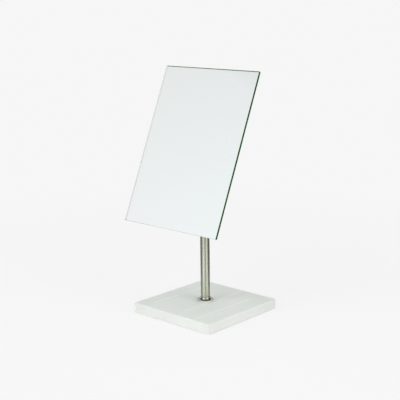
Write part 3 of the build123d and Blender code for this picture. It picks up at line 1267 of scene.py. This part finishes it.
    def tube(self) -> bpy.types.Object:
        """The post: a tube's wall section, with small rounded lips, turned about Z.

        Each corner of the section gives its radius and height, which way the lip's centre lies
        from it, and the quarter turn at which the lip's arc starts.

        Returns:
            The piece.
        """
        outer, inner = self.tube_outer, self.tube_outer - self.tube_wall
        corners = (
            (outer, self.tube_foot, -1, 1, 3),
            (outer, self.tube_top, -1, -1, 0),
            (inner, self.tube_top, 1, -1, 1),
            (inner, self.tube_foot, 1, 1, 2),
        )
        quarter = np.linspace(0, np.pi / 2, 4)
        lips = []
        for r, z, side, up, turns in corners:
            angle = quarter + turns * np.pi / 2
            centre = np.array([r + side * self.lip, z + up * self.lip])
            lips.append(centre + self.lip * np.stack([np.cos(angle), np.sin(angle)], -1))
        profile = np.concatenate([*lips, lips[0][:1]])
        return mesh_piece("post_tube_brushed", revolved(profile, self.around), sharp_degrees=60)

    def felt(self) -> bpy.types.Object:
        """The felt: a rounded square with a soft, slightly wandering edge, under the board.

        From its underside to its top the edge bulges as a half sine wave, by a quarter of a
        millimetre, and smooth noise moves it in and out along the rim.

        Returns:
            The piece.
        """
        corners = rounded_rectangle(self.felt_side, self.felt_side, self.felt_radius, 8)
        outline = evenly_spaced(corners, 1.2 * MM)
        rise = np.linspace(0, 1, 7)
        places = np.column_stack([outline, np.zeros(len(outline))])
        wander = SmoothNoise(5).at(places, (160, 160, 1))
        rest, bulge, sway = 0.45 * MM, 0.25 * MM, 0.18 * MM
        insets = rest - bulge * np.sin(np.pi * rise)[:, None] + sway * wander
        heights = self.felt_thickness * (0.5 - 0.5 * np.cos(np.pi * rise))
        return mesh_piece("base_felt_sheet", slab(outline, insets, heights), sharp_degrees=80)

    def build(self, dresser: Dresser) -> None:
        """Makes and dresses everything on the stand's body.

        Args:
            dresser: Gives the finishes.
        """
        wood, steel, zinc = LimedWood(), BrushedSteel(), ZincPlate()
        dresser.place(self.board(), "stand", "base_board", wood)
        dresser.place(self.tube(), "stand", "post_tube", steel)
        felt = dresser.place(self.felt(), "stand", "base_felt", Felt())
        dresser.dress_node("post_collar", PolishedChrome())
        dresser.dress_node("upper_plug", steel)
        dresser.dress_node("swivel_glide", Nylon())
        below = ("base_bolt", "base_washer", "base_lock_washer", "lower_plug")
        for node in (*below, "swivel_washer", "swivel_spring", "swivel_screw"):
            dresser.dress_node(node, zinc)


# The fork and the mirror head


@dataclass
class Fork:
    """The bent strap on the post and the pin through its ears."""

    def build(self, dresser: Dresser) -> None:
        """Makes and dresses everything on the fork's body.

        Args:
            dresser: Gives the finishes.
        """
        dresser.dress_node("hinge_fork", BrushedSteel(brushing=Brushing.ALONG_Z))
        dresser.dress_node("hinge_glides", Nylon())
        for node in ("hinge_pin", "pin_washer", "pin_spring", "pin_nut"):
            dresser.dress_node(node, ZincPlate())


@dataclass
class MirrorHead:
    """The lug, the plate, the foam pad, and the glass with its silver and its paint."""

    pin_height: float = 239.8 * MM
    lean_back: float = math.radians(23)
    glass_width: float = 180 * MM
    glass_height: float = 240 * MM
    glass_back: float = 29.3 * MM
    glass_thickness: float = 3 * MM
    arris: float = 0.3 * MM
    corner: float = 0.85 * MM
    hair: float = 0.01 * MM
    glass_rings: int = 4
    back_green: float = 0.5
    front_green: float = 0.2
    painted_band_width: float = 0.5 * MM
    film_inset: float = 0.35 * MM
    film_rise: float = 0.05 * MM
    film_step: float = 3.5 * MM
    border_step: float = 0.3 * MM
    border_reach: float = 1.2 * MM
    silver_back: float = 29.2 * MM
    paint_back: float = 29.0 * MM
    pad_back: float = 28.0 * MM
    pad_width: float = 66 * MM
    pad_height: float = 86 * MM
    pad_radius: float = 4 * MM

    def placed(self, points: Array) -> Array:
        """Points carried from the glass's own axes into the model's frame.

        They are turned by the lean about the pin's own line, and then raised by its height.

        Args:
            points: Places (across, up the glass, forward of the pin), of shape (n, 3).

        Returns:
            The same places as (x, y, z).
        """
        s, c = math.sin(self.lean_back), math.cos(self.lean_back)
        axes = np.array([[1, 0, 0], [0, s, c], [0, -c, s]])
        return points @ axes + [0, 0, self.pin_height]

    def border_stations(self, half: float, step: float) -> Array:
        """Places across a film, close together near its two borders.

        Args:
            half: Half of the film's side.
            step: Distance between places away from the borders.

        Returns:
            The places in order, from -half to half.
        """
        near = half - self.border_step * np.arange(8)
        inside = np.linspace(-near[-1], near[-1], round(2 * near[-1] / step))
        return np.concatenate([-near[:-1], inside, near[:-1][::-1]])

    def film(
        self, name: str, back: float, front: float, wave: float, relief: float, seed: int
    ) -> bpy.types.Object:
        """A thin closed film behind the glass.

        Both faces are the same grid. The border moves inwards by up to wave, by smooth noise
        along it that fades within a few grid lines, and the back face sinks by up to relief.

        Args:
            name: Name of the piece.
            back: Where its back is, forward of the pin.
            front: Where its front is.
            wave: How far its border may move inwards.
            relief: How deep the hollows in its back are.
            seed: Seed of the noise.

        Returns:
            The film.
        """
        half_x = self.glass_width / 2 - self.film_inset
        half_y = self.glass_height / 2 - self.film_inset
        x = self.border_stations(half_x, self.film_step)
        y = self.border_stations(half_y, self.film_step)
        grid_x, grid_y = np.meshgrid(x, y, indexing="ij")
        noise = SmoothNoise(seed)
        flat = np.stack([grid_x, grid_y, 0 * grid_x], -1).reshape(-1, 3)
        pull = wave * np.clip(noise.at(flat, (220, 220, 1)), 0, 1)
        for axis, half in ((0, half_x), (1, half_y)):
            close = np.clip(1 - (half - np.abs(flat[:, axis])) / (2 * MM), 0, 1)
            flat[:, axis] -= np.sign(flat[:, axis]) * pull * close
        runs, specks = noise.at(flat, (90, 12, 1)), noise.at(flat, (700, 700, 1))
        sunk = relief * (0.5 + 0.35 * runs + 0.15 * specks)
        faces = []
        for level in (back + sunk, np.full(len(flat), front)):
            places = self.placed(np.column_stack([flat[:, :2], level]))
            faces.append(Surface(places, lattice(len(x), len(y))))
        number = np.arange(len(flat)).reshape(len(x), len(y))
        loop = np.concatenate([number[:-1, 0], number[-1, :-1], number[:0:-1, -1], number[0, :0:-1]])
        rim = np.stack([faces[0].points[loop], faces[1].points[loop]])
        wall = Surface(rim.reshape(-1, 3), lattice(2, len(loop), close_columns=True)[:, ::-1])
        return mesh_piece(name, joined([faces[0].turned(), faces[1], wall]), sharp_degrees=50, weld=1e-7)

    def at_border(self, points: Array) -> Array:
        """How near points are to the film's border.

        The place up the glass is the points' height above the pin and their distance back,
        turned by the lean.

        Args:
            points: Places of shape (n, 3), in the model's frame.

        Returns:
            1 at the border, falling as a square to 0 at the reach.
        """
        across = self.glass_width / 2 - self.film_inset - np.abs(points[:, 0])
        s, c = math.sin(self.lean_back), math.cos(self.lean_back)
        along = points[:, 1] * s + (points[:, 2] - self.pin_height) * c
        down = self.glass_height / 2 - self.film_inset - np.abs(along)
        return np.clip(1 - np.minimum(across, down) / self.border_reach, 0, 1) ** 2

    def silver(self) -> bpy.types.Object:
        """The silver film, whose front lies just inside the back of the glass.

        Returns:
            The piece.
        """
        front = self.glass_back + self.film_rise
        piece = self.film("silver_film", self.silver_back, front, wave=0.0, relief=0.0, seed=3)
        point_values(piece, "border", self.at_border)
        return piece

    def paint(self) -> bpy.types.Object:
        """The backing paint, with a border that wanders a little."""
        wave, relief = 0.25 * MM, 0.05 * MM
        return self.film("back_paint_film", self.paint_back, self.silver_back, wave, relief, seed=9)

    def ground_shares(self, points: Array, row: Array) -> tuple[Array, Array]:
        """How ground the glass is at its points.

        The upper and right edges are ground, and the right one's green reaches a little into the front
        face, as a painted band that stands in for the green edge seen through the glass. The lower
        edge's arrises are polished. The left edge shows its green only from outside.

        Args:
            points: Places (across, up the glass, forward) of shape (n, 3).
            row: Row of the side that each belongs to, negative or too high on the flat faces.

        Returns:
            The share that counts from both sides, and the share that counts from outside.
        """
        behind, before = self.back_green, self.front_green
        polished = np.array([0, behind, behind, 1, 1, before, before, 0, 0])
        upper = np.array([0, 1, 1, 1, 1, 1, 1, 0, 0])
        # the eighth entry paints the right edge's green into the front face: a painted band
        right = np.array([0, 1, 1, 1, 1, 1, 1, 1, 0])
        left = np.array([0, 0, 1, 1, 1, 1, 0, 0, 0])
        reach = self.arris + self.painted_band_width
        across = points[:, 0] / (self.glass_width / 2 - reach)
        along = points[:, 1] / (self.glass_height / 2 - reach)
        on_side = (row >= 0) & (row < len(left))
        on_left = on_side & (across < -1)
        row = np.clip(row, 0, len(left) - 1)
        share = np.where(along > 1, upper[row], polished[row])
        share = np.where(across > 1, right[row], share)
        return np.where(on_side & ~on_left, share, 0.0), np.where(on_left, left[row], 0.0)

    def glass(self) -> bpy.types.Object:
        """The glass: a slab with nipped corners and an arris along every edge.

        From the back, the side's rows are the border of the flat, the arris, a hair of wall that
        keeps the arris's shading off the wall, the wall, and the same in turn at the front. Two
        more rows lie in the front face, where a painted green band beside the right edge fades out.

        Returns:
            The piece.
        """
        outline = rounded_rectangle(self.glass_width, self.glass_height, self.corner, 4)
        back, front = self.glass_back, self.glass_back + self.glass_thickness
        a, hair, painted_band = self.arris, self.hair, self.painted_band_width
        insets = np.array([a + hair, a, hair, 0, 0, hair, a, a + painted_band / 2, a + painted_band])
        steps = [0, 0, a - hair, a, -a, hair - a, 0, 0, 0]
        heights = np.array([back] * 4 + [front] * 5) + steps
        shape = slab(outline, insets, heights, self.glass_rings)
        row = np.arange(len(shape.points)) // len(outline) - (self.glass_rings - 1)
        seam, outer_seam = self.ground_shares(shape.points, row)
        shape.points = self.placed(shape.points)
        piece = mesh_piece("float_glass", shape, sharp_degrees=30)
        store_values(piece, "seam", seam)
        store_values(piece, "outer_seam", outer_seam)
        return piece

    def pad(self) -> bpy.types.Object:
        """The foam pad, pressed so that its cut edge bulges.

        From its back to its front the edge bulges as a half sine wave, and finer noise makes it
        ragged along the rim.

        Returns:
            The piece.
        """
        corners = rounded_rectangle(self.pad_width, self.pad_height, self.pad_radius, 8)
        outline = evenly_spaced(corners, 1.0 * MM)
        rise = np.linspace(0, 1, 9)
        places = np.column_stack([outline, np.zeros(len(outline))])
        ragged = SmoothNoise(13).at(places, (500, 500, 1))
        bulge, tear = 0.3 * MM, 0.06 * MM
        insets = bulge - bulge * np.sin(np.pi * rise)[:, None] + tear * ragged
        heights = self.pad_back + (self.paint_back - self.pad_back) * rise
        shape = slab(outline, insets, heights)
        shape.points = self.placed(shape.points)
        return mesh_piece("foam_pad", shape, sharp_degrees=60)

    def build(self, dresser: Dresser) -> None:
        """Makes and dresses everything on the head's body.

        Args:
            dresser: Gives the finishes.
        """
        dresser.dress_node("mirror_lug", BrushedSteel(brushing=Brushing.ALONG_X))
        dresser.dress_node("lug_screws", ZincPlate())
        dresser.dress_node("mounting_plate", PowderCoat())
        pad = dresser.place(self.pad(), "mirror_head", "bonding_pad", FoamTape())
        dresser.place(self.paint(), "mirror_head", "backing_paint", BackingPaint())
        dresser.place(self.silver(), "mirror_head", "silver_coat", Silvering())
        dresser.place(self.glass(), "mirror_head", "mirror_glass", FloatGlass())


# The studio


@dataclass(frozen=True)
class Glow:
    """Light added to the surroundings round one direction, fading from core to reach degrees."""

    azimuth: float
    elevation: float
    reach: float
    core: float
    colour: Colour


@dataclass(frozen=True)
class Lamp:
    """A square soft box: where it stands as seen from the object, its side and its light.

    Its level is the light on a white surface that faces it, where 1 renders white.
    """

    name: str
    azimuth: float
    elevation: float
    distance: float
    side: float
    level: float


@dataclass
class Studio:
    """The floor, the pale surroundings, the lamps, the banded ring and the camera.

    Angles are in degrees, and azimuths count from -Y towards +X. The camera's focal length,
    the frame's side and the frame's centre are in pixels of the photograph. The field sky pairs
    the height of a direction, 0 level and 1 straight up, with the brightness there, and bands
    lists an azimuth, the ring's brightness at its top and that at its foot.
    """

    azimuth: float = 41.49
    elevation: float = 12.46
    roll: float = -0.40
    focal: float = 944.90
    frame_side: float = 400.0
    centre_x: float = 220.3
    aim: Place = (0.0, 0.0, 151 * MM)
    slide: tuple[float, float] = (23.27 * MM, 19.94 * MM)
    distance: float = 1394.15 * MM
    backdrop: float = 0.922
    floor_colour: float = 0.86
    floor_share: float = 0.2
    floor_lit: float = 0.79
    floor_level: float = -0.1 * MM
    floor_inner: float = 0.05
    floor_outer: float = 14.0
    shadow_inner: float = 0.2
    shadow_outer: float = 0.9
    flag_radius: float = 130 * MM
    flag_height: float = 136 * MM
    flag_rows: int = 9
    bands: tuple[tuple[float, float, float], ...] = (
        (-104, 0.85, 2.0), (-84, 0.12, 0.01), (-56, 0.06, 0.0), (-42, 0.20, 0.04), (-20, 0.65, 0.7),
        (-4, 1.00, 3.4), (12, 1.04, 5.0), (34, 0.62, 1.1), (50, 0.36, 0.15), (64, 0.62, 1.4),
        (80, 0.88, 5.0), (92, 0.76, 4.2), (106, 0.50, 1.2), (124, 0.14, 0.04), (140, 0.04, 0.0),
        (184, 0.05, 0.0), (200, 0.85, 2.0), (214, 0.42, 0.4), (238, 0.42, 0.4), (254, 0.85, 2.0),
    )
    sky: tuple[tuple[float, float], ...] = (
        (0.0, 0.922), (0.2, 0.905), (0.48, 0.80), (0.56, 0.55), (0.66, 0.16), (0.8, 0.08), (1.0, 0.08),
    )
    glows: tuple[Glow, ...] = (
        Glow(-30.0, 21.0, 24.0, 0.0, (0.095, 0.118, 0.138)),
        Glow(-70.0, 46.0, 20.0, 9.0, (0.65, 0.65, 0.64)),
    )
    lamps: tuple[Lamp, ...] = (
        Lamp("key", -8.0, 32.0, 2.0, 1.4, 0.422),
        Lamp("fill", 88.0, 32.0, 2.0, 1.4, 0.325),
        Lamp("overhead", 120.0, 78.0, 2.0, 2.4, 0.36),
    )
    lamps_aim: Place = (0.0, 0.0, 150 * MM)

    @staticmethod
    def direction(azimuth: float, elevation: float) -> Array:
        """Unit vector towards an azimuth, from -Y towards +X, and an elevation, in degrees."""
        a, e = math.radians(azimuth), math.radians(elevation)
        return np.array([math.sin(a) * math.cos(e), -math.cos(a) * math.cos(e), math.sin(e)])

    @staticmethod
    def axes(back: Array, roll: float = 0.0) -> Array:
        """Right, up and back of something that looks away from back, as a matrix's columns.

        Args:
            back: Unit vector from what it looks at towards it.
            roll: Angle that it is turned by about its own view, in degrees.

        Returns:
            The three unit vectors side by side.
        """
        right = np.cross([0, 0, 1], back)
        right /= np.linalg.norm(right)
        up = np.cross(back, right)
        s, c = math.sin(math.radians(roll)), math.cos(math.radians(roll))
        return np.column_stack([c * right + s * up, c * up - s * right, back])

    @staticmethod
    def put_up(name: str, data: bpy.types.ID, place: Array, axes: Array) -> bpy.types.Object:
        """Puts a camera or lamp in its place, turned to its axes, and links it to the scene.

        Args:
            name: Its name.
            data: The camera or light that it holds.
            place: Where it stands.
            axes: Its right, up and back as a matrix's columns.

        Returns:
            The new object.
        """
        thing = bpy.data.objects.new(name, data)
        thing.matrix_world = Matrix.Translation(place.tolist()) @ Matrix(axes.tolist()).to_4x4()
        bpy.context.scene.collection.objects.link(thing)
        return thing

    def camera(self) -> None:
        """The camera, at the place and angle solved from the photograph."""
        axes = self.axes(self.direction(self.azimuth, self.elevation), self.roll)
        place = np.array(self.aim) + axes @ [*self.slide, self.distance]
        lens = bpy.data.cameras.new("photo_camera")
        lens.sensor_width = 36.0
        lens.lens = self.focal * lens.sensor_width / self.frame_side
        lens.shift_x = (self.frame_side / 2 - self.centre_x) / self.frame_side
        lens.clip_start, lens.clip_end = 0.05, 60.0
        bpy.context.scene.camera = self.put_up("photo_camera", lens, place, axes)

    def surroundings(self) -> None:
        """A pale backdrop all round that grows darker overhead, with the soft glows added."""
        world = bpy.data.worlds.new("studio")
        bpy.context.scene.world = world
        world.use_nodes = True
        tree = world.node_tree
        tree.nodes.clear()
        new, link = tree.nodes.new, tree.links.new
        direction = new("ShaderNodeTexCoord").outputs["Generated"]
        split, ramp_node = new("ShaderNodeSeparateXYZ"), new("ShaderNodeValToRGB")
        link(direction, split.inputs["Vector"])
        link(split.outputs["Z"], ramp_node.inputs["Fac"])
        ramp = ramp_node.color_ramp
        while len(ramp.elements) < len(self.sky):
            ramp.elements.new(0.5)
        for element, (place, level) in zip(ramp.elements, self.sky):
            element.position = place
            element.color = (level, level, level, 1.0)
        colour = ramp_node.outputs["Color"]
        for glow in self.glows:
            towards = new("ShaderNodeVectorMath")
            towards.operation = "DOT_PRODUCT"
            link(direction, towards.inputs[0])
            towards.inputs[1].default_value = self.direction(glow.azimuth, glow.elevation)
            near = new("ShaderNodeMapRange")
            link(towards.outputs["Value"], near.inputs["Value"])
            near.inputs["From Min"].default_value = math.cos(math.radians(glow.reach))
            near.inputs["From Max"].default_value = math.cos(math.radians(glow.core))
            add = new("ShaderNodeMix")
            add.data_type = "RGBA"
            add.blend_type = "ADD"
            link(near.outputs["Result"], add.inputs["Factor"])
            colours = [socket for socket in add.inputs if socket.type == "RGBA"]
            link(colour, colours[0])
            colours[1].default_value = (*glow.colour, 1.0)
            colour = next(socket for socket in add.outputs if socket.type == "RGBA")
        background, output = new("ShaderNodeBackground"), new("ShaderNodeOutputWorld")
        link(colour, background.inputs["Color"])
        link(background.outputs["Background"], output.inputs["Surface"])

    def floor(self) -> None:
        """A round pale floor that shows as backdrop and keeps the object's shadow.

        Its points are (r cos a, r sin a) for radii that grow by a fixed share and even angles.
        Near the object a share of what is seen is the floor's own lit surface, which holds the
        shadow; the rest is the backdrop's level. The share fades to nothing further out.
        """
        rings, around, z = 30, 64, self.floor_level
        radius = np.geomspace(self.floor_inner, self.floor_outer, rings)[:, None]
        angle = np.linspace(0, 2 * np.pi, around, endpoint=False)
        height = np.full((rings, around), z)
        points = np.stack([radius * np.cos(angle), radius * np.sin(angle), height], -1)
        points = np.vstack([points.reshape(-1, 3), [0, 0, z]])
        first = np.arange(around)
        fan = np.column_stack([first, np.full(around, rings * around), np.roll(first, -1)])
        quads = lattice(rings, around, close_columns=True)
        floor = mesh_piece("floor", Surface(points, quads, fan))
        r = Recipe("pale_floor")
        new, link = r.tree.nodes.new, r.tree.links.new
        r.set(Base_Color=(self.floor_colour,) * 3, Roughness=0.9, Specular_IOR_Level=0.0)
        reach = new("ShaderNodeVectorMath")
        reach.operation = "LENGTH"
        link(r.place, reach.inputs[0])
        fade = (self.shadow_inner, self.shadow_outer)
        lit = r.ranged(reach.outputs["Value"], *fade, self.floor_share, 0.0)
        glow = new("ShaderNodeEmission")
        level = r.ranged(lit, 0.0, 1.0, self.backdrop, self.backdrop - self.floor_lit)
        link(level, glow.inputs["Strength"])
        dim = new("ShaderNodeMixShader")
        r.feed(dim.inputs["Fac"], lit)
        nothing = new("ShaderNodeEmission")
        nothing.inputs["Strength"].default_value = 0.0
        link(nothing.outputs["Emission"], dim.inputs[1])
        link(r.shader.outputs["BSDF"], dim.inputs[2])
        both = new("ShaderNodeAddShader")
        link(dim.outputs["Shader"], both.inputs[0])
        link(glow.outputs["Emission"], both.inputs[1])
        path = new("ShaderNodeLightPath")
        kinds = ("Is Camera Ray", "Is Glossy Ray", "Is Transmission Ray")
        seen = r.sum(*((path.outputs[kind], 1.0) for kind in kinds))
        mix = new("ShaderNodeMixShader")
        r.feed(mix.inputs["Fac"], r.ranged(seen, 0.0, 1.0, 0.0, 1.0))
        link(r.shader.outputs["BSDF"], mix.inputs[1])
        link(both.outputs["Shader"], mix.inputs[2])
        link(mix.outputs["Shader"], r.output.inputs["Surface"])
        floor.data.materials.append(r.material)

    def light(self, lamp: Lamp) -> None:
        """Puts up a soft box that looks at the middle of the object.

        Args:
            lamp: The soft box.
        """
        back = self.direction(lamp.azimuth, lamp.elevation)
        light = bpy.data.lights.new(lamp.name, "AREA")
        light.size = lamp.side
        light.energy = lamp.level * (math.pi * lamp.distance) ** 2
        place = np.array(self.lamps_aim) + lamp.distance * back
        box = self.put_up(lamp.name, light, place, self.axes(back))
        box.visible_transmission = box.visible_glossy = False

    def flags(self) -> None:
        """A low ring of dark and pale cloth that only gloss shows, for the bands in the steel.

        Its points are (r sin a, -r cos a, z) for angles a and heights z. The brightness goes
        from that at the top to that at the foot, whose share is the fourth power of the depth
        below the top.
        """
        azimuths, top, foot = np.array(self.bands).T
        around = np.arange(azimuths[0], azimuths[-1] + 1, 2.0)
        heights = np.linspace(0, self.flag_height, self.flag_rows)
        a, z = np.meshgrid(np.radians(around), heights, indexing="ij")
        points = np.stack([self.flag_radius * np.sin(a), -self.flag_radius * np.cos(a), z], -1)
        cloth = mesh_piece("flags", sheet_of(points))
        low = (1 - z / self.flag_height) ** 4
        degrees = np.degrees(a)
        high_level, low_level = np.interp(degrees, azimuths, top), np.interp(degrees, azimuths, foot)
        level = high_level * (1 - low) + low_level * low
        store_values(cloth, "level", level)
        r = Recipe("flags")
        glow = r.tree.nodes.new("ShaderNodeEmission")
        r.feed(glow.inputs["Strength"], r.attribute("level"))
        r.tree.links.new(glow.outputs["Emission"], r.output.inputs["Surface"])
        cloth.data.materials.append(r.material)
        cloth.visible_camera = cloth.visible_diffuse = False
        cloth.visible_transmission = cloth.visible_shadow = False

    def build(self) -> None:
        """Sets up everything round the object."""
        self.camera()
        self.surroundings()
        self.floor()
        for lamp in self.lamps:
            self.light(lamp)
        self.flags()
        bpy.context.scene.view_settings.view_transform = "Standard"


def main() -> None:
    """Builds the studio and the three sub-assemblies, in the order of their bodies."""
    logging.basicConfig(level=logging.INFO, format="%(name)s: %(message)s")
    dresser = Dresser()
    Studio().build()
    Pedestal().build(dresser)
    Fork().build(dresser)
    MirrorHead().build(dresser)


if __name__ == "__main__":
    main()
